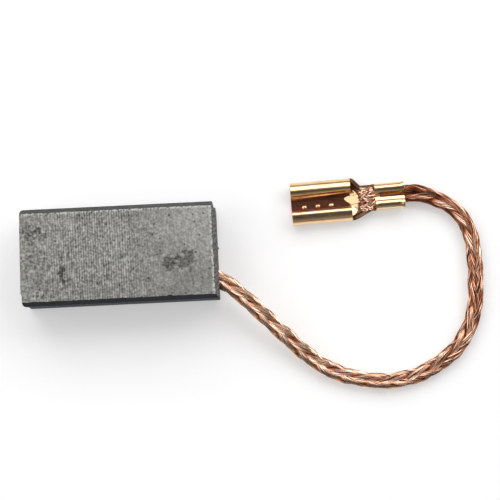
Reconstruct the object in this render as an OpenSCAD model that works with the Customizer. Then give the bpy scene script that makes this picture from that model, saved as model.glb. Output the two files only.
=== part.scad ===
// Carbon brush for a small motor: a carbon block with a braided copper shunt
// tamped into its rear end, and a brass push-on terminal crimped on the other end.
// The block lies on its broad side with its rear end towards +X.

/* [Carbon block] */
// Length of the block, contact face to rear end
block_l = 19.4; // [16:0.2:24]
// Width of the block, across the broad side
block_w = 9.5; // [8:0.1:13]
// Thickness of the block, across the narrow side
block_t = 6.3; // [5:0.1:9]
// Chamfer along the long edges and the rear edges
block_chamfer = 0.42; // [0.2:0.02:0.6]
// Diameter of the commutator that the contact face is ground to
commutator_d = 28; // [20:1:60]
// Broken corner at the rear, along the block; it runs down the whole side
chip_l = 0.3; // [0.2:0.01:0.6]
// Broken corner, across the block
chip_w = 0.66; // [0.3:0.02:1]

/* [Shunt] */
// Diameter of the braided copper shunt
shunt_d = 1.5; // [1.3:0.05:1.7]
// Bore drilled in the rear end for the shunt
hole_d = 3; // [2.6:0.1:3.4]
// Depth of that bore
hole_depth = 5.5; // [4.5:0.1:8]
// Carbon left between the bore and the long side
hole_wall = 0.75; // [0.6:0.05:1.5]
// Depth of the tamped powder's surface below the rear end
plug_recess = 0.25; // [0.1:0.05:0.6]
// Powder under the end of the shunt
plug_floor = 0.3; // [0.1:0.05:1]

/* [Terminal] */
// Thickness of the brass sheet
sheet_t = 0.35; // [0.25:0.01:0.4]
// Width of the male tab that the terminal takes
tab_w = 2.8; // [2.8:0.1:3.4]
// Thickness of that tab
tab_t = 0.8; // [0.5:0.1:1]
// Room beside the tab, inside each curled arm
tab_side_room = 0.4; // [0.3:0.02:0.5]
// Length of the curled arms
receptacle_l = 6; // [5:0.1:8]
// Outer radius of the last bend of an arm, down onto the tab
hook_r = 0.55; // [0.5:0.01:0.65]
// Straight lip below that bend
hook_lip = 0.2; // [0.1:0.02:0.4]
// Length of the open neck between the arms and the crimp
neck_l = 2.4; // [2.2:0.05:3]
// Rise of the sheet from the receptacle's floor to the crimp
crimp_lift = 0.3; // [0.1:0.05:0.5]
// Length of the crimp barrel
crimp_l = 2.95; // [2:0.05:4]
// How much wider the crimped strands are than the round shunt
crimp_spread = 0.4; // [0.3:0.02:0.5]
// How much higher the barrel stands than the round shunt
crimp_rise = 0.1; // [0:0.02:0.3]
// Groove left open between the two crimped wings, in which the strands show
groove_w = 0.5; // [0.2:0.02:0.6]
// Radius of the three pips pressed up in the receptacle's floor
pip_r = 0.5; // [0.4:0.02:0.6]
// Height of those pips
pip_h = 0.1; // [0.06:0.01:0.15]
// Spacing of the pips
pip_pitch = 1.36; // [1:0.02:1.6]
// Width of the pointed tab stop at the inner end of the floor
stop_w = 0.9; // [0.5:0.05:1.2]

/* [Hidden] */
round_fn = 64;

// Bore and the point where the shunt leaves the rear end, leaning on one side of it
hole_y = -(block_w/2 - hole_wall - hole_d/2);
powder_under = 0.5;
lean = (hole_d - shunt_d)/2 - powder_under;
chip_turn = 3;
past = 1;
leave = [block_l/2, hole_y - lean, block_t/2];

// Receptacle: a flat floor with an arm curled over from each side
tab_top = sheet_t + tab_t;
receptacle_h = tab_top + hook_lip + hook_r;
arm_r = receptacle_h/2;
receptacle_w = tab_w + 2*tab_side_room + 2*sheet_t;
floor_half = receptacle_w/2 - arm_r;
terminal_l = receptacle_l + neck_l + crimp_l;
pip_start = 1.3;
pip_y = -0.45;
stop_l = 0.66;
stop_h = 0.25;
stop_root = 0.1;

// Crimp barrel, heights above its own underside
crimp_w = shunt_d + crimp_spread + 2*sheet_t;
crimp_h = shunt_d + crimp_rise;
lobe_r = (crimp_w - groove_w)/4;
lobe_y = crimp_w/2 - lobe_r;

// Where the wire end of the barrel lies, from the point where the shunt leaves
crimp_from_leave = [18.9, 7.65];
terminal_turn = 2.3;

// Centre line of the shunt: along and across from the point where it leaves, and
// the share of the height between the bore's axis (1) and the surface (0)
route_inside = [
    [-(hole_depth - plug_floor), 2.7*lean, 1], [-3.2, 2.7*lean, 1],
    [-1.7, 2.5*lean, 1], [-0.7, 1.45*lean, 1]
];
route_free = [
    [0, 0, 1], [1.25, -0.95, 0.97], [2.55, -2.1, 0.88], [3.8, -3.35, 0.75],
    [5.05, -4.65, 0.58], [6.95, -6.5, 0.33], [8.3, -7.8, 0.17], [9.75, -8.95, 0.06],
    [11.5, -9.9, 0], [13.4, -10.5, 0], [15.4, -10.85, 0], [17.4, -10.85, 0],
    [19.25, -10.45, 0], [21.15, -9.6, 0], [23.05, -8.25, 0], [24.25, -6.8, 0],
    [25.05, -5.15, 0], [25.5, -3.3, 0], [25.65, -1.2, 0], [25.65, 0.9, 0],
    [25.5, 2.7, 0], [25.05, 4.3, 0], [24.25, 5.6, 0], [23.1, 6.55, 0]
];
// The last points lie between the surface (0) and the middle of the barrel (1)
route_to_crimp = [[21.8, 7.2, 0.3], [20.6, 7.55, 0.8], [19.7, 7.65, 1]];

lying_z = shunt_d/2;
crimp_mid = crimp_lift + sheet_t + (crimp_h - 2*sheet_t)/2;
centre_line = concat(
    [for (p = concat(route_inside, route_free))
        [leave.x + p[0], leave.y + p[1], lying_z + p[2]*(leave.z - lying_z)]],
    [for (p = route_to_crimp)
        [leave.x + p[0], leave.y + p[1], lying_z + p[2]*(crimp_mid - lying_z)]]
);

// The round shunt as eight points across, and the same eight inside the barrel
side_count = 8;
corner_out = 1.04;
corner_r = corner_out*shunt_d/2;
round_ring = [for (k = [0:side_count - 1]) corner_r * [cos(45*k + 22.5), sin(45*k + 22.5)]];
bore_half = crimp_w/2 - sheet_t;
dip_z = crimp_h - lobe_r - 0.12;
wide_z = lobe_r + 0.15;
right_crimp = [[lobe_y, crimp_h - sheet_t], [groove_w/2, dip_z]];
right_low = [[lobe_y, sheet_t], [bore_half, wide_z]];
crimp_ring = [
    right_crimp[0], right_crimp[1], mirrored(right_crimp[1]), mirrored(right_crimp[0]),
    mirrored(right_low[1]), mirrored(right_low[0]), right_low[0], right_low[1]
];
function mirrored(p) = [-p.x, p.y];

// Strand ends spread past the barrel: distance, half width, and drop of their top.
// They lie in the neck and spread over its walls
tails = [[0.3, 1.05, 0.3], [0.9, 1.15, 0.4], [1.45, 0.85, 0.6]];
tail_shoulder = 0.2;
tail_clear = 0.02;
neck_wall_top = lobe_r + 0.1;
function tail_ring(t) = let (top = crimp_h - t[2], x = bore_half - tail_clear) [
    [t[1], top - tail_shoulder], [t[1]/2, top], [-t[1]/2, top], [-t[1], top - tail_shoulder],
    [-x, neck_wall_top + tail_clear], [-lobe_y, sheet_t], [lobe_y, sheet_t],
    [x, neck_wall_top + tail_clear]
];

function unit(v) = v/norm(v);
function along(i) = unit(centre_line[min(i + 1, len(centre_line) - 1)] - centre_line[max(i - 1, 0)]);
function sideways(i) = unit(cross([0, 0, 1], along(i)));
function ring_at(i) = [for (q = round_ring)
    centre_line[i] + q.x*sideways(i) + q.y*cross(along(i), sideways(i))];

// A point of the terminal (x from its wire end, y across, z up) set in place
function placed(p) = [
    leave.x + crimp_from_leave.x + p.x*cos(terminal_turn) - p.y*sin(terminal_turn),
    leave.y + crimp_from_leave.y + p.x*sin(terminal_turn) + p.y*cos(terminal_turn),
    p.z
];
function ring_in_terminal(x, ring) = [for (q = ring) placed([x, -q.x, crimp_lift + q.y])];

shunt_rings = concat(
    [for (i = [0:len(centre_line) - 1]) ring_at(i)],
    [ring_in_terminal(0, crimp_ring), ring_in_terminal(-crimp_l, crimp_ring)],
    [for (t = tails) ring_in_terminal(-crimp_l - t[0], tail_ring(t))]
);

// Faces of a tube of rings with m points each. An end is closed by a strip of triangles
// between the points that follow "first" and those that come before it
function strip(m, first) = [for (j = [0:m/2 - 2])
    let (
        a = (first - j + m)%m,
        b = (first - j - 1 + m)%m,
        c = (first + j + 2)%m,
        d = (first + j + 1)%m
    )
    each [[a, b, c], [a, c, d]]];
function tube_faces(n, m, first) = concat(
    [for (t = strip(m, first)) [t[2], t[1], t[0]]],
    [for (i = [0:n - 2], k = [0:m - 1]) [i*m + k, (i + 1)*m + k, i*m + (k + 1)%m]],
    [for (i = [0:n - 2], k = [0:m - 1])
        [(i + 1)*m + k, (i + 1)*m + (k + 1)%m, i*m + (k + 1)%m]],
    [for (t = strip(m, first)) [for (k = t) (n - 1)*m + k]]
);

module tube(rings, first) {
    m = len(rings[0]);
    polyhedron(points = [for (r = rings) each r], faces = tube_faces(len(rings), m, first));
}

module place_terminal() {
    translate([leave.x + crimp_from_leave.x, leave.y + crimp_from_leave.y, 0])
        rotate([0, 0, terminal_turn])
            translate([-terminal_l, 0, 0])
                children();
}

// Sets a section drawn across and up standing, and runs it along X
module along_x(length) {
    rotate([90, 0, 90])
        linear_extrude(length)
            children();
}

module ring_2d(r, t) {
    difference() {
        circle(r = r, $fn = round_fn);
        circle(r = r - t, $fn = round_fn);
    }
}

// ---- Carbon block ----

module block_section() {
    c = block_chamfer;
    polygon([
        [-block_w/2 + c, 0], [block_w/2 - c, 0], [block_w/2, c], [block_w/2, block_t - c],
        [block_w/2 - c, block_t], [-block_w/2 + c, block_t], [-block_w/2, block_t - c],
        [-block_w/2, c]
    ]);
}

// Side view: chamfered at the rear, hollowed at the front to the commutator's curve
module block_side() {
    c = block_chamfer;
    r = commutator_d/2;
    difference() {
        polygon([
            [-block_l/2, 0], [block_l/2 - c, 0], [block_l/2, c], [block_l/2, block_t - c],
            [block_l/2 - c, block_t], [-block_l/2, block_t]
        ]);
        translate([-block_l/2 - sqrt(r*r - block_t*block_t/4), block_t/2])
            circle(r = r, $fn = 4*round_fn);
    }
}

module shunt_bore(from_rear) {
    translate([block_l/2 - hole_depth, hole_y, block_t/2])
        rotate([0, 90, 0])
            cylinder(d = hole_d, h = hole_depth - from_rear, $fn = round_fn);
}

module carbon_block() {
    color("#6f706d")
        difference() {
            intersection() {
                translate([-block_l/2, 0, 0])
                    along_x(block_l)
                        block_section();
                rotate([90, 0, 0])
                    linear_extrude(block_w, center = true)
                        block_side();
            }
            shunt_bore(-past);
            translate([block_l/2 - chip_l, block_w/2 - chip_w, -past])
                rotate(chip_turn)
                    cube([3*chip_l, 3*chip_w, block_t + 2*past]);
        }
}

// Copper powder tamped round the shunt in its bore
module tamping_plug() {
    color("#8a5a3c")
        difference() {
            shunt_bore(plug_recess);
            tube(shunt_rings, side_count/2 - 1);
        }
}

module shunt() {
    color("#c87f52")
        tube(shunt_rings, side_count/2 - 1);
}

// ---- Terminal ----

// One arm: a half turn up from the floor, a tighter bend over, and a lip down to the tab
module arm_section() {
    translate([floor_half, arm_r])
        intersection() {
            ring_2d(arm_r, sheet_t);
            translate([0, -arm_r])
                square([arm_r, 2*arm_r]);
        }
    translate([floor_half, receptacle_h - hook_r])
        intersection() {
            ring_2d(hook_r, sheet_t);
            translate([-hook_r, 0])
                square(hook_r);
        }
    translate([floor_half - hook_r, tab_top])
        square([sheet_t, hook_lip]);
}

module receptacle_section() {
    translate([-floor_half, 0])
        square([2*floor_half, sheet_t]);
    arm_section();
    mirror([1, 0])
        arm_section();
}

// Neck section: a channel with a flat floor, a bend at each side and a short wall.
// The sheet is drawn a little thinner there, so both its faces lie inside its neighbours'
neck_bend_steps = 6;
neck_thin = 0.02;
neck_lap = 0.06;
ramp_l = 0.72;
slim_l = 1.6;
arm_stub = 0.12;
function bend_arc(f, r, mid, steps) = [for (i = steps)
    [f + r*sin(90*i/neck_bend_steps), mid - r*cos(90*i/neck_bend_steps)]];
function channel_half(f, r, wall, z) = let (
    outer = r - neck_thin/2,
    inner = r - sheet_t + neck_thin/2,
    mid = z + r
) concat(
    bend_arc(f, outer, mid, [0:neck_bend_steps]),
    [[f + outer, mid + wall], [f + inner, mid + wall]],
    bend_arc(f, inner, mid, [neck_bend_steps:-1:0])
);
function channel(f, r, wall, z) = let (h = channel_half(f, r, wall, z)) concat(
    h, [for (i = [len(h) - 1:-1:0]) mirrored(h[i])]
);
function ease(u) = u <= 0 ? 0 : u >= 1 ? 1 : u*u*(3 - 2*u);
function mix(a, b, u) = a + (b - a)*u;
neck_x = [-neck_lap, 0, 0.24, 0.48, ramp_l, 0.98, 1.28, slim_l];
function neck_ring(x) = let (
    rise = min(1, max(0, x/ramp_l)),
    slim = ease(x/slim_l)
) [for (q = channel(
        mix(floor_half, lobe_y, slim), mix(arm_r, lobe_r, slim),
        mix(arm_stub, neck_wall_top - lobe_r, slim), crimp_lift*rise))
    [receptacle_l + x, q.x, q.y]];

module neck() {
    tube([for (x = concat(neck_x, [neck_l + neck_lap])) neck_ring(x)], neck_bend_steps + 1);
}

module crimp_section() {
    difference() {
        union() {
            for (s = [-1, 1], z = [lobe_r, crimp_h - lobe_r])
                translate([s*lobe_y, z])
                    circle(r = lobe_r, $fn = round_fn);
            translate([-lobe_y, 0])
                square([2*lobe_y, lobe_r]);
            translate([-crimp_w/2, lobe_r])
                square([crimp_w, crimp_h - 2*lobe_r]);
        }
        polygon(crimp_ring);
        translate([-groove_w/2, dip_z - sheet_t/4])
            square([groove_w, crimp_h]);
    }
}

// A tongue raised from the floor, its point towards the mouth
module tab_stop() {
    tip = receptacle_l - stop_l;
    root = receptacle_l + stop_root;
    top = sheet_t + stop_h;
    intersection() {
        rotate([90, 0, 0])
            linear_extrude(stop_w, center = true)
                polygon([[tip, sheet_t/2], [root, sheet_t/2], [root, top], [tip, sheet_t]]);
        linear_extrude(top + past)
            polygon([[tip, 0], [root, -stop_w/2], [root, stop_w/2]]);
    }
}

module pips() {
    for (i = [0:2])
        translate([pip_start + i*pip_pitch, pip_y, sheet_t])
            intersection() {
                translate([0, 0, pip_h - pip_r])
                    sphere(r = pip_r, $fn = round_fn);
                translate([-pip_r, -pip_r, -sheet_t/2])
                    cube([2*pip_r, 2*pip_r, pip_r]);
            }
}

module terminal() {
    color("#d9a95f")
        place_terminal() {
            along_x(receptacle_l)
                receptacle_section();
            pips();
            tab_stop();
            neck();
            translate([receptacle_l + neck_l, 0, crimp_lift])
                along_x(crimp_l)
                    crimp_section();
        }
}

carbon_block();
tamping_plug();
shunt();
terminal();
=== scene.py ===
"""A small carbon brush: a ground carbon block, a braided copper shunt tamped into its rear
end, and a brass push-on terminal crimped on the shunt's far end. It lies loose on its side."""

import math
import bpy
import numpy as np
from mathutils import Matrix, Vector


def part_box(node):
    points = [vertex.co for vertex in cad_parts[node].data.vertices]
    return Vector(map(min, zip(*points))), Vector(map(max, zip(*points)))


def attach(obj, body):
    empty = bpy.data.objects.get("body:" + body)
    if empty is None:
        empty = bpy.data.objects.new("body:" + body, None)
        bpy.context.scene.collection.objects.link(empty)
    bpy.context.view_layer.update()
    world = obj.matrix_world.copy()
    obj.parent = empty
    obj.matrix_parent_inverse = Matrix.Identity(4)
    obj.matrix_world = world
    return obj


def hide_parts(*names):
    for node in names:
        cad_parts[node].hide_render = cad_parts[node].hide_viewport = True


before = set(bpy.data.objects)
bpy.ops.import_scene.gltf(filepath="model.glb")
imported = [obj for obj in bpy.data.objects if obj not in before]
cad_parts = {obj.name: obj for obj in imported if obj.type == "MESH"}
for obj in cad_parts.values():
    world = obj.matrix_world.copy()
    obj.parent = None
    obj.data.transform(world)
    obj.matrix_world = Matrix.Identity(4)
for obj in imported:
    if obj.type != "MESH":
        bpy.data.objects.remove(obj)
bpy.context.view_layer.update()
MM = 0.001


# ---- Camera, floor and lamps -------------------------------------------------------------
# The brush is seen almost straight from above, as on a copy stand. One long soft box hangs
# behind it and a smaller one at each end, so that round metal shows a narrow bright band on
# the side that faces them and a dark one on the other.

scene = bpy.context.scene
scene.view_settings.view_transform = "Standard"

aim = Vector((12.9, 0.15, 0)) * MM
height_angle = math.radians(86.36)
turn = math.radians(2.76)
camera_distance = 200 * MM
view_right = Vector((math.cos(turn), -math.sin(turn), 0))
view_ahead = Vector((math.sin(turn), math.cos(turn), 0))
back = math.sin(height_angle) * Vector((0, 0, 1)) - math.cos(height_angle) * view_ahead
camera_data = bpy.data.cameras.new("camera")
camera_data.sensor_width = 36
camera_data.lens = 142.97
camera_data.clip_start = 0.01
camera = bpy.data.objects.new("camera", camera_data)
camera.matrix_world = Matrix.Translation(aim + camera_distance * back) @ Matrix(
    (view_right, back.cross(view_right), back)
).transposed().to_4x4()
scene.collection.objects.link(camera)
scene.camera = camera


def soft_box(name, tilt, heading, distance, width, height, radiance):
    """A rectangular lamp aimed at the brush: tilt is its angle from straight above, and
    heading the compass angle it hangs at, from +X towards +Y. Its power is the wanted
    radiance times its area times pi."""
    lamp = bpy.data.lights.new(name, "AREA")
    lamp.shape = "RECTANGLE"
    lamp.size, lamp.size_y = width, height
    lamp.energy = radiance * width * height * math.pi
    made = bpy.data.objects.new(name, lamp)
    t, h = math.radians(tilt), math.radians(heading)
    away = Vector((math.sin(t) * math.cos(h), math.sin(t) * math.sin(h), math.cos(t)))
    made.location = aim + distance * away
    made.rotation_mode = "QUATERNION"
    made.rotation_quaternion = away.to_track_quat("Z", "Y")
    made.visible_camera = False
    scene.collection.objects.link(made)


soft_box("rear_box", tilt=41, heading=82, distance=0.5, width=0.85, height=0.36, radiance=2.45)
soft_box("side_box", tilt=40, heading=183, distance=0.5, width=0.42, height=0.44, radiance=1.3)
soft_box("far_box", tilt=40, heading=12, distance=0.5, width=0.34, height=0.3, radiance=1.2)


class Value:
    """A shader socket on which Python's + - * and / act, each adding one Math node."""

    def __init__(self, shader, socket):
        self.shader = shader
        self.socket = socket

    def math(self, operation, *others, first=None):
        """One Math node on this value and the others, or on first and this value."""
        terms = [self, *others] if first is None else [first, self]
        return self.shader.node("Math", {"operation": operation}, dict(enumerate(terms)))

    def __add__(self, other):
        return self.math("ADD", other)

    def __sub__(self, other):
        return self.math("SUBTRACT", other)

    def __rsub__(self, other):
        return self.math("SUBTRACT", first=other)

    def __mul__(self, other):
        return self.math("MULTIPLY", other)

    def __truediv__(self, other):
        return self.math("DIVIDE", other)

    __radd__ = __add__
    __rmul__ = __mul__

    def between(self, low, high):
        """0 below low and 1 above high, with a smooth rise between them."""
        return self.shader.node(
            "MapRange",
            {"interpolation_type": "SMOOTHSTEP"},
            {"Value": self, "From Min": low, "From Max": high},
        )


class Shader:
    """A node tree that is being put together, for a material or the world."""

    def __init__(self, owner):
        owner.use_nodes = True
        self.owner = owner
        self.tree = owner.node_tree
        self.tree.nodes.clear()

    def node(self, kind, settings=(), sockets=(), out=0):
        """Adds a node of this kind. Its settings come first, then its sockets, by name or
        number, each a plain value or the link from another node. Returns output out."""
        made = self.tree.nodes.new("ShaderNode" + kind)
        for name, setting in dict(settings).items():
            if name == "stops":
                ramp = made.color_ramp.elements
                for i, (place, colour) in enumerate(setting):
                    stop = ramp[i] if i < 2 else ramp.new(place)
                    stop.position, stop.color = place, (*colour, 1)
            else:
                setattr(made, name, setting)
        for key, given in dict(sockets).items():
            if isinstance(given, Value):
                self.tree.links.new(given.socket, made.inputs[key])
            else:
                made.inputs[key].default_value = given
        return Value(self, made.outputs[out]) if made.outputs else made

    def mix(self, factor, one, other):
        """One colour turned into the other as the factor goes from 0 to 1."""
        pair = [c if isinstance(c, Value) else (*c, 1) for c in (one, other)]
        return self.node("Mix", {"data_type": "RGBA"}, {0: factor, 6: pair[0], 7: pair[1]}, out=2)

    def fact(self, name):
        """A number that the mesh holds for each point or face."""
        return self.node("Attribute", {"attribute_name": name}, out=2)

    def place(self, stretch=(1, 1, 1), turned=0):
        """The point on the object in millimetres, stretched and turned for a pattern."""
        return self.node(
            "Mapping",
            sockets={
                "Vector": self.node("TexCoord", out=3),
                "Rotation": (0, 0, math.radians(turned)),
                "Scale": [s / MM for s in stretch],
            },
        )

    def noise(self, where, size, detail=2, rough=0.5):
        """Cloudy noise from 0 to 1 with blots of about this size in millimetres."""
        sockets = {"Vector": where, "Scale": 1 / size, "Detail": detail, "Roughness": rough}
        return self.node("TexNoise", sockets=sockets)

    def bump(self, height, strength, depth):
        """Normals of a relief that is depth millimetres high where height goes from 0 to 1."""
        sockets = {"Height": height, "Strength": strength, "Distance": depth * MM}
        return self.node("Bump", sockets=sockets)

    def surface(self, **sockets):
        """Ends the tree in a Principled shader. A name's underscores stand for spaces."""
        named = {name.replace("_", " "): value for name, value in sockets.items()}
        for name, value in named.items():
            if name.endswith("Color") and not isinstance(value, Value):
                named[name] = (*value, 1)
        shown = self.node("BsdfPrincipled", sockets=named)
        self.node("OutputMaterial", sockets={"Surface": shown})
        return self.owner


# The floor glows only where it is looked at, straight or in metal, so it adds no light
floor_paint = Shader(bpy.data.materials.new("pale_floor"))
camera_ray, glossy_ray, transmission_ray = (
    floor_paint.node("LightPath", out=k) for k in (0, 3, 6)
)
looked_at = camera_ray.math("MAXIMUM", glossy_ray.math("MAXIMUM", transmission_ray))
floor_paint.surface(
    Base_Color=(0.74, 0.74, 0.74),
    Roughness=0.9,
    Specular_IOR_Level=0.1,
    Emission_Color=floor_paint.mix(looked_at, (0, 0, 0), (0.36, 0.36, 0.36)),
    Emission_Strength=1.0,
)
floor_mesh = bpy.data.meshes.new("floor")
r = 3.0
floor_mesh.from_pydata([(-r, -r, 0), (r, -r, 0), (r, r, 0), (-r, r, 0)], [], [(0, 1, 2, 3)])
floor_mesh.materials.append(floor_paint.owner)
floor = bpy.data.objects.new("floor", floor_mesh)
scene.collection.objects.link(floor)

# The room is pale round its walls and dim above, so flat metal that faces up looks dark
scene.world = bpy.data.worlds.new("room")
room = Shader(scene.world)
skyward = room.node("SeparateXYZ", sockets={"Vector": room.node("TexCoord", out=0)}, out=2)
dim_above = 0.26 - 0.21 * skyward.between(0.35, 0.95)
room_light = room.node("Background", sockets={"Color": (1, 1, 1, 1), "Strength": dim_above})
room.node("OutputWorld", sockets={"Surface": room_light})


# ---- Shunt -------------------------------------------------------------------------------
# A round braid of bare copper wire, twelve bundles laid two over and two under round a loose
# core. It is soft: it leaves the block, drops to the table and turns back to the terminal.

route = [
    (0.00800, -0.00212, 0.00315), (0.00900, -0.00239, 0.00315), (0.00970, -0.00275, 0.00315),
    (0.01095, -0.00370, 0.00308), (0.01225, -0.00485, 0.00286), (0.01350, -0.00610, 0.00255),
    (0.01475, -0.00740, 0.00214), (0.01665, -0.00925, 0.00154), (0.01800, -0.01055, 0.00116),
    (0.01945, -0.01170, 0.00089), (0.02120, -0.01265, 0.00075), (0.02310, -0.01325, 0.00075),
    (0.02510, -0.01360, 0.00075), (0.02710, -0.01360, 0.00075), (0.02895, -0.01320, 0.00075),
    (0.03085, -0.01235, 0.00075), (0.03275, -0.01100, 0.00075), (0.03395, -0.00955, 0.00075),
    (0.03475, -0.00790, 0.00075), (0.03520, -0.00605, 0.00075), (0.03535, -0.00395, 0.00075),
    (0.03535, -0.00185, 0.00075), (0.03520, -0.00005, 0.00075), (0.03475, 0.00155, 0.00075),
    (0.03395, 0.00285, 0.00075), (0.03280, 0.00380, 0.00075), (0.03150, 0.00445, 0.00085),
    (0.03030, 0.00480, 0.00103), (0.02940, 0.00490, 0.00110), (0.02860, 0.00490, 0.00110),
]


def smooth_line(points, step):
    """A curve through the points. Between two of them it is a cubic Hermite blend whose end
    slopes are the chords between their neighbours, and it comes back at even steps."""
    p = np.array(points)
    slope = np.gradient(p, axis=0)
    t = np.linspace(0, 1, 40, endpoint=False)[:, None]
    a, b, ma, mb = p[:-1, None], p[1:, None], slope[:-1, None], slope[1:, None]
    blend = (
        (2 * t**3 - 3 * t**2 + 1) * a + (t**3 - 2 * t**2 + t) * ma
        + (3 * t**2 - 2 * t**3) * b + (t**3 - t**2) * mb
    )
    line = np.vstack([blend.reshape(-1, 3), p[-1:]])
    run = np.r_[0, np.cumsum(np.linalg.norm(np.diff(line, axis=0), axis=1))]
    even = np.linspace(0, run[-1], int(run[-1] / step) + 1)
    return even, np.stack([np.interp(even, run, line[:, k]) for k in range(3)], axis=1)


def grain(x, y, size, seed):
    """Smooth noise from -1 to 1: random numbers on a square lattice, blended across each
    cell by 3t^2 - 2t^3. The lattice repeats after as many cells as it holds."""
    cells = 97
    table = np.random.default_rng(seed).uniform(-1, 1, (cells, cells))
    u, v = np.broadcast_arrays(x / size, y / size)
    i, j = np.floor(u).astype(int), np.floor(v).astype(int)
    s, t = u - i, v - j
    s, t = s * s * (3 - 2 * s), t * t * (3 - 2 * t)
    i0, i1, j0, j1 = i % cells, (i + 1) % cells, j % cells, (j + 1) % cells
    near = table[i0, j0] * (1 - t) + table[i0, j1] * t
    far = table[i1, j0] * (1 - t) + table[i1, j1] * t
    return near * (1 - s) + far * s


def rise(value, low, high):
    """0 below low, 1 above high, and 3t^2 - 2t^3 between them."""
    t = np.clip((value - low) / (high - low), 0, 1)
    return t * t * (3 - 2 * t)


def unit(v):
    """Vectors along the last axis, each divided by its own length."""
    return v / np.linalg.norm(v, axis=-1, keepdims=True)


def grid_faces(rows, columns, wrap=False):
    """Quads of a grid of points numbered row by row: each joins a point to the next in its
    row and in its column. With wrap the last column joins the first."""
    i = np.arange(rows - 1)[:, None]
    j = np.arange(columns if wrap else columns - 1)[None]
    k = (j + 1) % columns
    corners = (i * columns + j, i * columns + k, (i + 1) * columns + k, (i + 1) * columns + j)
    return np.stack(np.broadcast_arrays(*corners), axis=-1).reshape(-1, 4)


def tubes(lines, radius, sides, face_out, flatness=1):
    """Wires along many lines at once, as points (wire, step, side). Each ring is the wire's
    radius times cos and sin round its tangent, from the direction face_out. A flatness over
    1 makes it that much wider than it is thick."""
    ahead = unit(np.gradient(lines, axis=1))
    over = unit(face_out - ahead * (face_out * ahead).sum(-1, keepdims=True))
    beside = np.cross(ahead, over)
    angle = np.arange(sides) * 2 * np.pi / sides
    wide = flatness * np.sin(angle)[:, None]
    ring = np.cos(angle)[:, None] * over[:, :, None] + wide * beside[:, :, None]
    return lines[:, :, None] + radius * ring


def tube_mesh(rings):
    """Faces of closed wires: quads along each, and one flat face on each end."""
    wires, steps, sides = rings.shape[:3]
    one = grid_faces(steps, sides, wrap=True)
    starts = np.arange(wires) * steps * sides
    quads = (one[None] + starts[:, None, None]).reshape(-1, 4)
    near = starts[:, None] + np.arange(sides)[::-1]
    far = starts[:, None] + (steps - 1) * sides + np.arange(sides)
    return quads.tolist() + near.tolist() + far.tolist()


def piece(name, points, faces, finish, smooth, facts=(), face_facts=()):
    """A mesh in metres that rides on the brush. Its volume's sign says if its faces look
    inwards, and then they are turned. It is shaded smooth across edges of up to smooth
    degrees. facts are numbers kept for the material, one a point, and face_facts one a face."""
    points = np.asarray(points, float).reshape(-1, 3)
    fans = np.array([[f[0], f[i], f[i + 1]] for f in faces for i in range(1, len(f) - 1)])
    a, b, c = (points[fans[:, k]] - points.mean(0) for k in range(3))
    if (a * np.cross(b, c)).sum() < 0:
        faces = [f[::-1] for f in faces]
    mesh = bpy.data.meshes.new(name)
    mesh.from_pydata(points, [], faces)
    for domain, given in (("POINT", facts), ("FACE", face_facts)):
        for key, numbers in dict(given).items():
            layer = mesh.attributes.new(key, "FLOAT", domain)
            layer.data.foreach_set("value", np.asarray(numbers, np.float32).ravel())
    mesh.shade_smooth()
    if smooth < 180:
        mesh.set_sharp_from_angle(angle=math.radians(smooth))
    mesh.materials.append(finish)
    made = bpy.data.objects.new(name, mesh)
    scene.collection.objects.link(made)
    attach(made, "root")
    return made


# The lay is the length in which a bundle goes once round. The uneven lengths are how far
# a wire wanders sideways, how far one stands out, and how far a whole bundle bulges
lay = 15.6 * MM
bundles_each_way = 6
wires_in_bundle = 7
wire_radius = 0.055 * MM
middle_radius = 0.57 * MM
weave_depth = 0.075 * MM
bundle_arch = 0.09 * MM
bundle_half = 0.26 * MM
uneven_side, uneven_out, uneven_bundle = 0.022 * MM, 0.02 * MM, 0.055 * MM
swell = 0.24 * MM
core_radius = 0.47 * MM
ring_step = 0.34 * MM
wire_sides, core_sides = 5, 16

run, centre = smooth_line(route, ring_step)
forward = unit(np.gradient(centre, axis=0))
beside_line = unit(np.cross([0, 0, 1.0], forward))
over_line = np.cross(forward, beside_line)
end_run = float(run[-1])

dice = np.random.default_rng(11)
way = np.repeat([1, -1], bundles_each_way * wires_in_bundle)
bundle = np.tile(np.repeat(np.arange(bundles_each_way), wires_in_bundle), 2)
seat = np.tile(np.linspace(-1, 1, wires_in_bundle), 2 * bundles_each_way)


def drift(count, steps, reach, knots=14):
    """A slow random wander for each wire: random knots along it joined by straight lines."""
    knot = dice.normal(0, reach, (count, knots))
    places = np.linspace(0, knots - 1, steps)
    return np.stack([np.interp(places, np.arange(knots), row) for row in knot])


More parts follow.
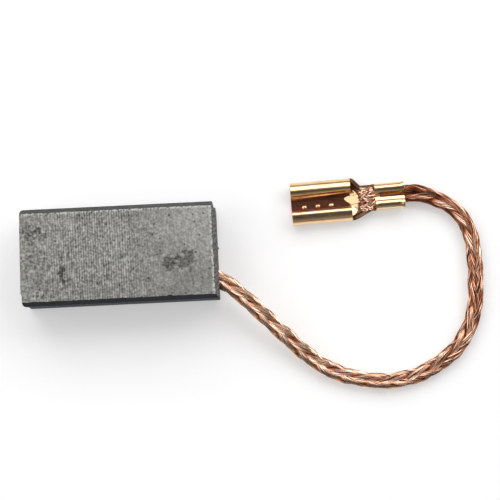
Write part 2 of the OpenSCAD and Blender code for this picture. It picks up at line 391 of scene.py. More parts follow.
def braid_lines():
    """Centre lines of every wire, with the direction that faces out of the braid and how
    deep the wire lies in it, from 0 to 1. A wire's angle turns once in each lay, one way or
    the other. A crossing comes every twelfth of a lay: counted as q, the bundle lies high
    for two crossings and low for two, and so its radius follows a squared-off cosine of q.
    It is wide and arched where it is high, and drawn together where it dives."""
    steps = len(run)
    q = run[None] * 2 * bundles_each_way / lay
    phase = np.where(way[:, None] > 0, q + 2 * bundle[:, None], 2 * bundle[:, None] - q)
    wave = np.cos((phase - 0.5) * np.pi / 2) * way[:, None]
    high = np.tanh(1.5 * wave) / np.tanh(1.5)
    # The far half has been bent more often, and its wires have worked loose
    worked = rise(run, 18 * MM, 30 * MM)[None]
    spread = bundle_half * (0.86 + 0.22 * high) * seat[:, None]
    spread = spread + drift(len(way), steps, uneven_side) * (1 + 2.2 * worked)
    bulge = np.abs(drift(2 * bundles_each_way, steps, uneven_bundle, knots=40))
    radius = (
        middle_radius + weave_depth * high * (1 - 0.35 * worked)
        + bundle_arch * (1 - seat[:, None] ** 2) * (0.55 + 0.45 * high)
        + np.abs(drift(len(way), steps, uneven_out, knots=60))
        + np.repeat(bulge, wires_in_bundle, axis=0) * np.clip(high, 0, 1)
    )
    angle = way[:, None] * 2 * np.pi * run[None] / lay
    angle = angle + 2 * np.pi * bundle[:, None] / bundles_each_way + spread / middle_radius
    # In the last millimetre the barrel's rolled edges press a furrow into the braid
    near_barrel = np.clip((run - end_run) / (1.1 * MM) + 1, 0, 1)[None] ** 2
    furrow = np.exp(-((np.arctan2(np.cos(angle), np.sin(angle)) / 0.55) ** 2))
    radius = radius * (1 - 0.06 * near_barrel - 0.42 * near_barrel * furrow)
    side = np.cos(angle)[..., None] * beside_line[None] + np.sin(angle)[..., None] * over_line[None]
    # Before it, the braid is swollen on the outside of the bend
    swollen = swell * np.exp(-(((run - end_run + 0.9 * MM) / (1.5 * MM)) ** 2))[None]
    radius = radius + swollen * np.clip(side[..., 1], 0, 1)
    lines = centre[None] + radius[..., None] * side
    lines[..., 2] = np.maximum(lines[..., 2], wire_radius)
    depth = (radius - middle_radius + weave_depth) / (2 * weave_depth + bundle_arch)
    return lines, side, np.clip(1 - depth, 0, 1)


# How deep each wire lies sets its painted shade, darker deep in the braid, and a painted highlight
# on the bundles' crowns
wire_lines, outward, depth_shade = braid_lines()
wire_rings = tubes(wire_lines, wire_radius, wire_sides, outward)
core_rings = tubes(centre[None], core_radius, core_sides, over_line[None])

copper = Shader(bpy.data.materials.new("bare_copper_wire"))
highlit_crown_copper, drawn_copper = (1.0, 0.71, 0.53), (0.90, 0.49, 0.31)
tarnish_and_shade_copper = (0.32, 0.10, 0.045)
# Copper darkens with age and in blots of tarnish. It is also darkened as painted shade where a wire
# lies deep between the bundles, and the crowns are painted paler as a highlight
age, valley_shade = copper.fact("tone"), copper.fact("depth_shade")
blot = copper.noise(copper.place(), 1.6, 3)
tarnish_and_shade = 0.25 * age * age + 0.35 * blot.between(0.48, 0.7) + 1.1 * valley_shade.between(0.35, 1.0)
drawing = copper.noise(copper.place(), 0.12, 2)
copper_with_crown_highlight = copper.mix(valley_shade.between(0.0, 0.4), highlit_crown_copper, drawn_copper)
copper_finish = copper.surface(
    Base_Color=copper.mix(tarnish_and_shade.math("MINIMUM", 1.0), copper_with_crown_highlight, tarnish_and_shade_copper),
    Metallic=1.0,
    Roughness=0.2 + 0.12 * drawing + 0.12 * valley_shade,
    Normal=copper.bump(drawing, 0.35, 0.01),
)

# Some wires are darker than others, and all are towards the terminal
aged = 0.9 * rise(run, 16 * MM, 30 * MM) + 0.4 * rise(run, end_run - 5 * MM, end_run - 2 * MM)
wire_tone = np.repeat((dice.uniform(0, 1, (len(way), 1)) + aged[None]).ravel(), wire_sides)
wire_depth_shade = np.repeat(depth_shade, wire_sides)
wires_total, core_total = wire_rings.size // 3, core_rings.size // 3
braid = piece(
    "copper_braid",
    np.vstack([wire_rings.reshape(-1, 3), core_rings.reshape(-1, 3)]),
    tube_mesh(wire_rings) + [[i + wires_total for i in f] for f in tube_mesh(core_rings)],
    copper_finish,
    smooth=60,
    facts={
        "tone": np.r_[wire_tone, np.full(core_total, 1.0)],
        "depth_shade": np.r_[wire_depth_shade, np.full(core_total, 1.0)],
    },
)
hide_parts("shunt")


# ---- Carbon block ------------------------------------------------------------------------
# Pressed carbon graphite, sawn and ground. The broad faces keep the grinding lines, the
# chamfers and sides are smoother and darker, the front is ground hollow to the commutator,
# and one rear corner is broken off.

block_low, block_high = (np.array(c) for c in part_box("carbon_block"))
block_l, block_w, block_t = block_high - block_low
chamfer = 0.42 * MM
commutator_r = 14 * MM
bore_r = 1.5 * MM
bore_y = -2.5 * MM
bore_seen = 1.3 * MM
corner_round = 0.24 * MM
out_of_square = 0.2 * MM
break_l, break_w = 0.3 * MM, 0.66 * MM
front_chip = 0.12 * MM
burr_l, burr_y, burr_z = 0.24 * MM, 0.12 * MM, 5.3 * MM

# The points on each side, from the top round by -Y, and which of the sides are broad faces
side_points = [62, 6, 30, 6, 40, 6, 30, 6]
ring_points = sum(side_points)
ground_side = np.repeat([1, 0, 0, 0, 1, 0, 0, 0], side_points)


def front_x(y, z):
    """The contact face: the commutator's arc across the thickness, a little out of square,
    with rounded corners and one corner that is chipped."""
    arc = np.sqrt(commutator_r**2 - (z - block_t / 2) ** 2) - math.sqrt(
        commutator_r**2 - block_t**2 / 4
    )
    past = np.clip(np.abs(y) - (block_w / 2 - corner_round), 0, corner_round)
    rounded = corner_round - np.sqrt(corner_round**2 - past**2)
    slant = out_of_square * (0.5 + y / block_w)
    step = front_chip * rise(-y, 3.55 * MM, 3.7 * MM)
    rough = 0.02 * MM * (grain(y, z, 0.5 * MM, 3) + grain(y, z, 0.16 * MM, 4))
    return block_low[0] + arc + rounded + slant + step + np.abs(rough)


def rear_x(y, z):
    """The rear end: flat, chamfered above and below, with the broken corner set back from
    it and a small burr that the saw left."""
    to_edge = np.minimum(z, block_t - z)
    cut = np.maximum(0, chamfer - to_edge + 0.04 * MM * grain(y, z, 0.35 * MM, 6))
    break_edge = block_w / 2 - break_w + 0.05 * MM * grain(z, y, 0.5 * MM, 7)
    broken = y > break_edge
    burr = np.exp(-(((y - burr_y) / (0.09 * MM)) ** 2) - ((z - burr_z) / (0.2 * MM)) ** 2)
    rough = 0.018 * MM * grain(y, z, 0.14 * MM, 8) + 0.02 * MM * grain(y, z, 0.4 * MM, 9)
    set_back = np.maximum(cut, broken * (break_l + 0.04 * MM * grain(y, z, 0.2 * MM, 10)))
    return block_high[0] - set_back - np.abs(rough) + burr_l * burr


def edge_wander(x, seed):
    """How much a ground edge strays: fine ragged noise with a few larger chips."""
    fine = 0.02 * grain(x, 0 * x, 0.14 * MM, seed) + 0.025 * grain(x, 0 * x, 0.7 * MM, seed + 1)
    chips = 0.09 * rise(grain(x, 0 * x, 0.3 * MM, seed + 2), 0.72, 1.0)
    return (fine + chips) * MM


def block_rings(u):
    """Rings of the block's section, one for each share u of its length. Eight corners follow
    from the chamfer's legs, which stray with u, and each side between two of them holds a
    fixed number of points, so the edges stay on the grid."""
    along = u * block_l
    flat = 0 * along
    half, top = block_w / 2, block_t
    leg = [chamfer + edge_wander(along, 20 + 5 * k) for k in range(8)]
    corners = np.stack(
        [
            np.stack([half - leg[0], top + flat], -1),
            np.stack([-half + leg[1], top + flat], -1),
            np.stack([-half + flat, top - leg[2]], -1),
            np.stack([-half + flat, leg[3]], -1),
            np.stack([-half + leg[4], flat], -1),
            np.stack([half - leg[5], flat], -1),
            np.stack([half + flat, leg[6]], -1),
            np.stack([half + flat, top - leg[7]], -1),
        ],
        axis=1,
    )
    side = np.repeat(np.arange(8), side_points)
    share = np.concatenate([np.arange(n) / n for n in side_points])[None, :, None]
    return corners[:, side] * (1 - share) + corners[:, (side + 1) % 8] * share


stations = 300
u = np.linspace(0, 1, stations)
outline = block_rings(u)
y, z = outline[..., 0], outline[..., 1]
x = front_x(y, z) + u[:, None] * (rear_x(y, z) - front_x(y, z))

# Grinding lines run straight across the broad faces and are strongest before the middle
ruling_pitch_mm = 0.24
ruling_middle_mm = -2.2
ruling_depth = 5.5e-3 * MM
grit_depth = 5e-3 * MM
beat = x / (ruling_pitch_mm * MM) + 0.35 * grain(x, y, 1.4 * MM, 60)
strength = 0.35 + 0.65 * np.exp(-(((x - ruling_middle_mm * MM) / (4.2 * MM)) ** 2))
ruling = 0.5 + 0.5 * np.cos(2 * np.pi * beat)
relief = ruling_depth * ruling * strength * (0.7 + 0.5 * grain(x * 3, y, 0.9 * MM, 61))
relief = relief + grit_depth * (1 + grain(x, y, 0.13 * MM, 62))
pits = [  # along, across, radius and depth, in millimetres
    (-6.7, 2.9, 0.13, 0.06), (-6.5, 0.7, 0.15, 0.07), (5.0, 2.6, 0.2, 0.07),
    (4.75, 2.75, 0.12, 0.05), (-2.9, 1.9, 0.14, 0.05), (-3.4, 1.4, 0.1, 0.04),
    (-1.2, -3.2, 0.16, 0.05), (0.5, -3.6, 0.2, 0.06), (-7.9, -3.4, 0.2, 0.06),
    (-5.2, -1.0, 0.11, 0.05), (2.4, 0.2, 0.1, 0.04), (7.4, -2.2, 0.13, 0.05),
]
for pit_x, pit_y, pit_r, pit_depth in pits:
    off = np.hypot(x - pit_x * MM, y - pit_y * MM) / (pit_r * MM)
    relief = relief + pit_depth * MM * np.exp(-(off**2))
inwards = np.where(z > block_t / 2, -relief, relief)
z = z + inwards * ground_side[None]
body = np.stack([x, y, z], -1)

# Rings close together at an end's rim, where the rounding is, and the section's middle
inset = np.array([0.02, 0.05, 0.09, 0.14, 0.2, 0.28, 0.35, 0.42, 0.5]) * MM
middle = np.array([0, block_t / 2])


def inner_rings(outer, goal, shares):
    """Rings inside an end, as (y, z): first shrunk by set distances towards the middle of
    the section, then drawn in straight lines towards a point or a circle in it."""
    shrink = 1 - 2 * inset[:, None, None] / np.array([block_w, block_t])
    close = middle + (outer[None] - middle) * shrink
    far = close[-1:] + (goal - close[-1:]) * shares[:, None, None]
    return np.concatenate([close, far])


def on_end(end_x, yz):
    """The points of an end whose x is a function of y and z."""
    return np.stack([end_x(yz[..., 0], yz[..., 1]), yz[..., 0], yz[..., 1]], -1)


def end_fans(rows, sides):
    """Triangles that close a stack of rings, from two poles numbered after its points: the
    first pole with the first ring, and the second with the last."""
    ring = np.arange(sides)
    ahead = np.roll(ring, -1)
    last = (rows - 1) * sides
    first_fan = np.stack([ahead, ring, np.full(sides, rows * sides)], -1)
    last_fan = np.stack([ring + last, ahead + last, np.full(sides, rows * sides + 1)], -1)
    return first_fan.tolist() + last_fan.tolist()


bore_middle = np.array([bore_y, block_t / 2])
bore_rim = bore_middle + bore_r * unit(outline[-1] - bore_middle)
front_end = on_end(front_x, inner_rings(outline[0], middle, np.linspace(0, 0.98, 26)[1:]))
rear_end = on_end(rear_x, inner_rings(outline[-1], bore_rim, np.linspace(0, 1, 20)[1:]))
bore_deep = np.linspace(0, 1, 8)[1:, None] * bore_seen
wall_parts = np.broadcast_arrays(block_high[0] - bore_deep, bore_rim[:, 0], bore_rim[:, 1])
bore_wall = np.stack(wall_parts, -1)
rows = np.concatenate([front_end[::-1], body, rear_end, bore_wall])
poles = [
    (float(front_x(np.array(0.0), np.array(block_t / 2))), 0, block_t / 2),
    (block_high[0] - bore_seen, bore_y, block_t / 2),
]
block_faces = grid_faces(len(rows), ring_points, wrap=True).tolist()
block_faces = block_faces + end_fans(len(rows), ring_points)

# Faces on the broad sides are ground, and those of both ends are sawn
face_rows = np.arange(len(rows) - 1)
body_row = (face_rows >= len(front_end)) & (face_rows < len(front_end) + stations - 1)
ground_face = (body_row[:, None] & (ground_side[None] > 0)).ravel()
end_face = ~np.repeat(body_row, ring_points)
fan_faces = np.zeros(2 * ring_points)

carbon = Shader(bpy.data.materials.new("ground_carbon"))
here = carbon.place()
along, aside, level = (carbon.node("SeparateXYZ", sockets={0: here}, out=k) for k in (0, 1, 2))
speck = carbon.noise(here, 0.24, 2, 0.6)
clump = carbon.noise(here, 0.55, 2, 0.5)
streak = carbon.noise(carbon.place((1, 0.2, 1)), 0.2, 2, 0.6)
patch = carbon.noise(here, 1.9, 3, 0.55)
cell = carbon.node("TexVoronoi", sockets={"Vector": here, "Scale": 1.3, "Randomness": 1.0})
pit_mask = 1 - cell.between(0.08, 0.2)
bands_at_scale_one = 3.18
ruled = carbon.node(
    "TexWave",
    {"wave_type": "BANDS", "bands_direction": "X", "wave_profile": "SIN"},
    {
        "Vector": here,
        "Scale": 1 / ruling_pitch_mm / bands_at_scale_one,
        "Distortion": 1.2,
        "Detail": 2.0,
        "Detail Scale": 0.7,
    },
)
near_middle = 1 - (along - ruling_middle_mm).math("ABSOLUTE").between(2.0, 7.5)
on_top = level.between(3.0, 3.3)


def smudge(at_x, at_y, half_l, half_w):
    """1 inside an ellipse on the upper face and 0 outside, its rim broken up by the noise."""
    out_x, out_y = (along - at_x) / half_l, (aside - at_y) / half_w
    away = out_x * out_x + out_y * out_y + 3.2 * (clump - 0.5)
    return on_top * (1 - away.between(0.2, 1.2))


# The ground faces are mottled, paler towards the rear, with the dark smudges of handling
mottle = 1.25 * (speck - 0.5) + 0.5 * (streak - 0.5) + 0.6 * (clump - 0.5)
mottle = mottle + 0.24 * (ruled - 0.5) * near_middle
tone = 0.46 + mottle * (1.05 - 0.45 * along.between(-1, 6)) + 0.2 * (patch - 0.5)
tone = tone + 0.13 * along.between(1, 9) * aside.between(-3, 3)
tone = tone - 0.06 * (0 - aside).between(0, 4)
tone = tone - 0.3 * (smudge(6.6, -0.9, 1.2, 0.95) + smudge(5.0, -1.15, 0.75, 0.8))
tone = tone - 0.4 * smudge(-5.6, -1.8, 0.4, 1.15)
tone = tone - 0.3 * smudge(-8.3, 2.4, 0.9, 1.1) * (1 - speck)
tone = tone + 0.9 * smudge(-7.9, -3.6, 0.9, 0.6) * (speck - 0.42)
# A pale line along the +Y and rear edges of the ground faces: partly wear, partly a painted
# highlight
rim_wear_and_highlight = aside.between(4.1, 4.26) + along.between(9.0, 9.2)
soot, mid_grey, pale_grey = (0.06, 0.06, 0.056), (0.285, 0.283, 0.262), (0.66, 0.66, 0.63)
ground_colour = carbon.node(
    "ValToRGB",
    {"stops": [(0.0, soot), (1.0, pale_grey), (0.46, mid_grey)]},
    {"Fac": tone + 0.45 * rim_wear_and_highlight * speck.between(0.35, 0.6)},
)
ground_colour = carbon.mix(pit_mask * 0.7, ground_colour, (0.06, 0.06, 0.057))

# The sides are pressed, smooth and dark, and the ends are sawn. The -Y chamfer and side are painted
# darker and bluer, as shade
pressed_tone = 0.5 + 0.5 * (speck - 0.5) + 0.5 * (patch - 0.5)
pressed_colour = carbon.mix(pressed_tone, (0.045, 0.05, 0.046), (0.12, 0.126, 0.115))
pressed_colour = carbon.mix(aside.between(-4.0, -4.4), pressed_colour, (0.035, 0.038, 0.045))
sawn_colour = carbon.mix(speck.between(0.3, 0.7), (0.075, 0.075, 0.073), (0.24, 0.24, 0.232))
side_colour = carbon.mix(carbon.fact("sawn"), pressed_colour, sawn_colour)
carbon_finish = carbon.surface(
    Base_Color=carbon.mix(carbon.fact("ground"), side_colour, ground_colour),
    Roughness=0.74 - 0.16 * speck,
    Specular_IOR_Level=0.25,
    Normal=carbon.bump(speck + 0.6 * streak + 0.35 * ruled - 0.8 * pit_mask, 0.8, 0.1),
)
block = piece(
    "carbon_block_ground",
    np.vstack([rows.reshape(-1, 3), poles]),
    block_faces,
    carbon_finish,
    smooth=28,
    face_facts={
        "ground": np.r_[ground_face, fan_faces],
        "sawn": np.r_[end_face, fan_faces + 1],
    },
)
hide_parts("carbon_block")


# ---- Tamped powder -----------------------------------------------------------------------
# Copper powder rammed round the shunt in the bore, which holds it and carries the current.
# Its face is a little below the rear end, dull and granular.

plug_rings = 26
plug_sides = 72
plug_recess = 0.27 * MM
plug_edge_sag = 0.08 * MM
powder_depth = 0.9 * MM
radial = np.linspace(0.03, 1, plug_rings)[:, None] * (bore_r - 0.01 * MM)
angle = np.arange(plug_sides)[None] * 2 * np.pi / plug_sides
plug_y, plug_z = bore_y + radial * np.cos(angle), block_t / 2 + radial * np.sin(angle)
crumbs = 0.035 * MM * grain(plug_y, plug_z, 0.13 * MM, 71)
crumbs = crumbs + 0.05 * MM * grain(plug_y, plug_z, 0.4 * MM, 72)
plug_face_x = block_high[0] - plug_recess + crumbs - plug_edge_sag * (radial / bore_r) ** 4
plug_face = np.stack([plug_face_x, plug_y, plug_z], -1)
plug_back = plug_face[[-1, 0]].copy()
plug_back[..., 0] = block_high[0] - plug_recess - powder_depth
plug_rows = np.concatenate([plug_face, plug_back])
plug_pole_x = (plug_face_x[0].mean(), plug_back[0, 0, 0])
plug_poles = [(pole_x, bore_y, block_t / 2) for pole_x in plug_pole_x]
plug_faces = grid_faces(len(plug_rows), plug_sides, wrap=True).tolist()

powder = Shader(bpy.data.materials.new("tamped_copper_powder"))
crumb = powder.noise(powder.place(), 0.09, 3, 0.7)
powder_finish = powder.surface(
    Base_Color=powder.mix(crumb.between(0.35, 0.7), (0.06, 0.045, 0.04), (0.42, 0.22, 0.13)),
    Metallic=0.55,
    Roughness=0.75,
    Normal=powder.bump(crumb, 0.8, 0.05),
)
plug = piece(
    "tamped_powder",
    np.vstack([plug_rows.reshape(-1, 3), plug_poles]),
    plug_faces + end_fans(len(plug_rows), plug_sides),
    powder_finish,
    smooth=45,
)
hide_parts("tamping_plug")


# ---- Terminal ----------------------------------------------------------------------------
# One blank of brass sheet, cut, curled and crimped: two arms rolled over a flat floor grip
# the tab, a short neck rises behind them, and two wings are rolled down into the strands.

# Lengths run from the terminal's mouth: arms, neck and barrel. arm_r, hook_r and lobe_r
# are outside radii of the arms' lower curve, of their lips and of the barrel's two lobes
sheet_t = 0.35 * MM
arms_l = 6.0 * MM
neck_l = 2.4 * MM
barrel_l = 2.95 * MM
arm_r = 0.95 * MM
floor_half = 1.2 * MM
arms_h = 1.9 * MM
hook_r = 0.55 * MM
lip_h = 0.2 * MM
lobe_r = 0.525 * MM
lobe_y = 0.775 * MM
barrel_h = 1.6 * MM
barrel_lift = 0.3 * MM
ramp_l = 0.7 * MM
ramp_y = -0.25 * MM
ramp_half = 1.5 * MM
ramp_slope, wall_slope, tongue_slope = 0.38, 0.36, 0.27
tongue_l = 0.65 * MM
tongue_aside = 0.2 * MM
pip_r, pip_h, pip_y = 0.16 * MM, 0.08 * MM, -0.34 * MM
first_pip_mm, pip_pitch_mm = 1.3, 1.36
wire_end = np.array([28.6, 4.9]) * MM
terminal_turn = math.radians(2.3)
terminal_l = arms_l + neck_l + barrel_l


def set_in_place(p):
    """Points of the terminal, x from its mouth, turned and moved to where it lies."""
    x, y = p[..., 0] - terminal_l, p[..., 1]
    c, s = math.cos(terminal_turn), math.sin(terminal_turn)
    return np.stack([wire_end[0] + x * c - y * s, wire_end[1] + x * s + y * c, p[..., 2]], -1)


def follow(start, legs, count):
    """Points spaced evenly along a chain of legs from a start. A leg is a straight
    ("to", y, z) or an arc ("arc", centre y, centre z, radius, first and last angle)."""
    fine = [np.array([start])]
    for leg in legs:
        if leg[0] == "to":
            start = fine[-1][-1]
            share = np.linspace(0, 1, 60)[:, None]
            fine.append(start + (np.array(leg[1:]) - start) * share)
        else:
            a = np.radians(np.linspace(leg[4], leg[5], 120))
            fine.append(np.stack([leg[1] + leg[3] * np.cos(a), leg[2] + leg[3] * np.sin(a)], -1))
    line = np.vstack(fine)
    way_along = np.r_[0, np.cumsum(np.linalg.norm(np.diff(line, axis=0), axis=1))]
    even = np.linspace(0, way_along[-1], count)
    return np.stack([np.interp(even, way_along, line[:, k]) for k in range(2)], -1)


half_sheet = sheet_t / 2
core_columns = 54
wing_columns = 38
arm_core = follow(
    (0, half_sheet),
    [("to", floor_half, half_sheet), ("arc", floor_half, arm_r, arm_r - half_sheet, -90, 0)],
    core_columns,
)
arm_roll = [
    ("arc", floor_half, arm_r, arm_r - half_sheet, 0, 90),
    ("arc", floor_half, arms_h - hook_r, hook_r - half_sheet, 90, 180),
    ("to", floor_half - hook_r + half_sheet, arms_h - hook_r - lip_h),
]
slanted_lip = ("to", 0.58 * MM, 0.99 * MM)
arm_wings = {
    1: follow(arm_core[-1], [*arm_roll, slanted_lip], wing_columns),
    -1: follow(arm_core[-1], arm_roll, wing_columns),
}
neck_core = follow(
    (0, half_sheet),
    [
        ("to", lobe_y, half_sheet),
        ("arc", lobe_y, lobe_r, lobe_r - half_sheet, -90, 0),
        ("to", lobe_y + lobe_r - half_sheet, lobe_r + 0.1 * MM),
    ],
    core_columns,
)
# The two wings come down on either side of an open groove; one ends in a flat lip
wing_top = ("arc", lobe_y, barrel_h - lobe_r, lobe_r - half_sheet)
wing_side = ("to", lobe_y + lobe_r - half_sheet, barrel_h - lobe_r)
flat_lip = ("to", 0.16 * MM, 1.15 * MM)
barrel_wings = {
    1: follow(neck_core[-1], [wing_side, (*wing_top, 0, 172)], wing_columns),
    -1: follow(neck_core[-1], [wing_side, (*wing_top, 0, 148), flat_lip], wing_columns),
}


def ramp_width(across):
    """How far the ramp that stops the tab reaches into the neck: a lens, 1 - |t|^3 times
    its greatest length, and longest off the middle."""
    return ramp_l * np.clip(1 - np.abs((across - ramp_y) / ramp_half) ** 3, 0, 1)


def terminal_half(x, side):
    """The sheet's middle surface on one side (side is 1 or -1) at every x: columns run from
    the floor's middle out along the core and then the wing. Between the arms and the barrel
    the core narrows from one section to the other, and it climbs to the barrel's level. At
    the barrel's ends the sheet flares by a bell curve of x."""
    narrow = rise(x, arms_l, arms_l + (1.1 * MM if side > 0 else 2.35 * MM))
    core = arm_core[None] * (1 - narrow[:, None, None]) + neck_core[None] * narrow[:, None, None]
    in_barrel = x > arms_l + neck_l / 2
    wing = np.where(in_barrel[:, None, None], barrel_wings[side][None], arm_wings[side][None])
    # The arm on the far side opens a little towards its inner end
    open_up = (0.04 + 0.36 * x / arms_l) * (side > 0) + 0.1 * (side < 0)
    pulled = floor_half - (floor_half - wing[..., 0]) * (1 - open_up[:, None])
    wing_y = np.where((wing[..., 0] < floor_half) & ~in_barrel[:, None], pulled, wing[..., 0])
    section = np.concatenate([core, np.stack([wing_y, wing[..., 1]], -1)[:, 1:]], axis=1)
    across, beyond = side * section[..., 0], x[:, None] - arms_l
    reach = ramp_width(across)
    # The ramp is two flat facets, which also cut the curved corners of the arms: one rises
    # towards the barrel, and the other towards the near wall
    onset = rise(beyond, 0, 0.06 * MM) * (np.abs(across - ramp_y) < ramp_half)
    leaves = rise(beyond, reach, reach + 0.3 * MM)
    section[..., 1] += (half_sheet - section[..., 1]) * onset * (1 - leaves)
    wall_facet = wall_slope * np.clip(-across - 0.45 * MM, 0, 1.3 * MM) * onset
    climb = np.maximum(ramp_slope * np.clip(beyond, 0, reach), wall_facet)
    climb = climb + (barrel_lift - climb) * leaves
    # Its tongue is a third facet, which starts as a point between the arms and widens
    share = np.clip(1 + beyond / tongue_l, 0, 1)
    off_line = np.abs(across - tongue_aside * (1 - share))
    on_tongue = (share > 0) & (off_line < (0.02 + 0.3 * share) * MM) & (beyond < reach)
    climb = np.where(on_tongue, np.maximum(climb, tongue_slope * (beyond + tongue_l)), climb)
    bell = 0.05 * (np.exp(-((x - arms_l - neck_l) / (0.16 * MM)) ** 2)) + (
        (0.05 if side > 0 else 0.12) * np.exp(-(((x - terminal_l) / (0.3 * MM)) ** 2))
    )
    middle_z = barrel_h / 2
    flare = np.where(in_barrel, bell, 0)[:, None]
    y = side * section[..., 0] * (1 + flare)
    z = middle_z + (section[..., 1] - middle_z) * (1 + flare * (section[..., 1] > middle_z)) + climb
    return np.stack([np.broadcast_to(x[:, None], y.shape), y, z], -1)


station = np.r_[
    np.linspace(0, arms_l - 0.8 * MM, 80),
    np.linspace(arms_l - 0.8 * MM, arms_l, 26)[1:],
    np.linspace(arms_l, arms_l + neck_l, 60)[1:],
    np.linspace(arms_l + neck_l, terminal_l, 34)[1:],
]
right, left = terminal_half(station, 1), terminal_half(station, -1)
sheet = np.concatenate([left[:, :0:-1], right], axis=1)
floor_column = np.abs(np.arange(sheet.shape[1]) - (right.shape[1] - 1)) < core_columns

# Three pips are pressed up out of the floor. The floor between the arms is darkened red-brown,
# partly as tarnish and partly as painted shade in the hollow under the arms, and the neck past
# the ramp, under the strand ends, is darker still, as stain and painted shade
floor_tarnish_and_shade = floor_column[None] * (1 - rise(np.abs(sheet[..., 1]), 1.4 * MM, 2.0 * MM))
raised = (np.abs(sheet[..., 1]) < floor_half) & (sheet[..., 2] > half_sheet + 0.02 * MM)
floor_tarnish_and_shade = floor_tarnish_and_shade * (station < arms_l)[:, None] * ~raised
past_ramp = sheet[..., 0] - arms_l - ramp_width(sheet[..., 1])
before_barrel = (station < arms_l + neck_l)[:, None]
neck_stain_and_shade = floor_column[None] * rise(past_ramp, 0, 0.15 * MM) * before_barrel
for pip_x in first_pip_mm + pip_pitch_mm * np.arange(3):
    off = np.hypot(sheet[..., 0] - pip_x * MM, sheet[..., 1] - pip_y) / pip_r
    pip = np.clip(1 - off**2, 0, 1) * floor_column[None]
    sheet[..., 2] += pip_h * pip
    floor_tarnish_and_shade = floor_tarnish_and_shade * (1 - rise(pip, 0.0, 0.4))

# The neck has no wings, so their faces are left out there
columns = sheet.shape[1]
sheet_faces = grid_faces(len(station), columns)
face_row = np.repeat(np.arange(len(station) - 1), columns - 1)
face_column = np.tile(np.arange(columns - 1), len(station) - 1)
in_core = np.abs(face_column + 0.5 - (columns - 1) / 2) < core_columns - 1
hair = 1e-7
row_x = station[face_row] + hair
in_neck = (row_x > arms_l) & (row_x < arms_l + neck_l)
sheet_faces = sheet_faces[in_core | ~in_neck]
used, sheet_faces = np.unique(sheet_faces, return_inverse=True)
sheet_points = set_in_place(sheet.reshape(-1, 3)[used])
sheet_faces = sheet_faces.reshape(-1, 4)

# The two dark colours are tarnish and stain, and also painted shade in the hollow between the arms
# and under the strand ends
clean_brass, spotted_brass = (0.92, 0.65, 0.37), (0.66, 0.40, 0.20)
tarnish_and_shade_brass, stain_and_shade_brass = (0.48, 0.15, 0.085), (0.10, 0.04, 0.022)
brass = Shader(bpy.data.materials.new("rolled_brass"))
rolling = brass.noise(brass.place((0.12, 1, 1), turned=-2.3), 0.1, 3, 0.6)
spots = brass.noise(brass.place(), 1.1, 3, 0.6)
stain_and_shade_mask = brass.fact("neck_stain_and_shade")
outer_brass = brass.mix(spots.between(0.45, 0.8) * 0.6, clean_brass, spotted_brass)
aged_and_shaded_brass = brass.mix(brass.fact("floor_tarnish_and_shade") * (0.75 + 0.3 * spots), outer_brass, tarnish_and_shade_brass)
brass_finish = brass.surface(
    Base_Color=brass.mix(stain_and_shade_mask * 0.9, aged_and_shaded_brass, stain_and_shade_brass),
    Metallic=1.0,
    Roughness=0.17 + 0.14 * rolling + 0.25 * stain_and_shade_mask,
    Normal=brass.bump(rolling, 0.25, 0.012),
)
terminal = piece(
    "brass_terminal",
    sheet_points,
    sheet_faces.tolist(),
    brass_finish,
    smooth=180,
    facts={"floor_tarnish_and_shade": floor_tarnish_and_shade.ravel()[used], "neck_stain_and_shade": neck_stain_and_shade.ravel()[used]},
)
thicken = terminal.modifiers.new("sheet", "SOLIDIFY")
thicken.thickness = sheet_t
thicken.offset = 0
thicken.use_even_offset = True
soften = terminal.modifiers.new("sheared_edges", "BEVEL")
soften.width = 0.05 * MM
soften.segments = 2
soften.harden_normals = True
soften.limit_method = "ANGLE"
soften.angle_limit = math.radians(50)
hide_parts("terminal")


# ---- Strand ends -------------------------------------------------------------------------
# Past the barrel the braid comes undone: the cut wires spread over the neck, pressed flat and
# crumpled by the crimping tool.

strand_count = 64
strand_steps = 19
strand_sides = 8
strand_half = 0.036 * MM
strand_flatness = 3
strand_dice = np.random.default_rng(5)


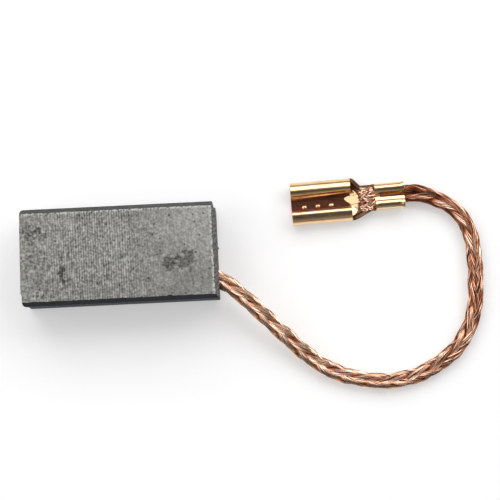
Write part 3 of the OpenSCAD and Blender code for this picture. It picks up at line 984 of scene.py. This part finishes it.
def dealt(low, high, *more):
    """One random number for each strand."""
    return strand_dice.uniform(low, high, (*more, strand_count, 1))


# Each strand starts inside the barrel, at its own height and place across, runs back over
# the neck in waves of its own size and length, and fans out before it draws in again
strand_start = arms_l + neck_l + 0.5 * MM
layer = dealt(0, 1) ** 0.5
spot = dealt(-1, 1)
along_strand = np.linspace(0, 1, strand_steps)[None]
loose = rise(along_strand, 0.2, 0.5)
kink_size = dealt(0.08, 0.2, 2) * MM
wave = kink_size * np.sin(dealt(0.9, 2.2, 2) * along_strand * 2 * np.pi + dealt(0, 6.28, 2)) * loose
strand_x = strand_start - (dealt(1.25, 1.65) + 0.5) * MM * along_strand
fan_out = 0.62 + 0.5 * rise(along_strand, 0.2, 0.55) - 0.15 * rise(along_strand, 0.7, 1)
strand_y = spot * fan_out * MM + wave[0] - 0.1 * MM * loose
crumple = grain(strand_x, strand_y, 0.3 * MM, 81)
strand_top = barrel_lift + (1.24 - 0.32 * spot**2 - 0.3 * along_strand) * MM
strand_low = barrel_lift + sheet_t + (0.08 + 0.3 * spot**4) * MM
strand_z = strand_low + (strand_top - strand_low) * layer + wave[1] + 0.2 * MM * crumple * loose
strand_z = np.maximum(strand_z, strand_low)
# Strands low in the heap are painted darker as shade, and the top ones paler as a highlight
strand_depth_shade = np.clip((strand_top - 0.02 * MM - strand_z) / (0.36 * MM), 0, 1)
strand_turn = np.radians(dealt(-40, 40) + 35 * np.sin(dealt(0, 6.28) + dealt(2, 6) * along_strand))
strand_up = np.stack([0 * strand_turn, np.sin(strand_turn), np.cos(strand_turn)], -1)
strand_lines = set_in_place(np.stack([strand_x, strand_y, strand_z], -1))
strand_rings = tubes(strand_lines, strand_half, strand_sides, strand_up, strand_flatness)
strands = piece(
    "strand_ends",
    strand_rings.reshape(-1, 3),
    tube_mesh(strand_rings),
    copper_finish,
    smooth=60,
    facts={
        "tone": np.repeat(dealt(0.7, 1.4), strand_steps * strand_sides),
        "depth_shade": np.repeat(strand_depth_shade, strand_sides),
    },
)
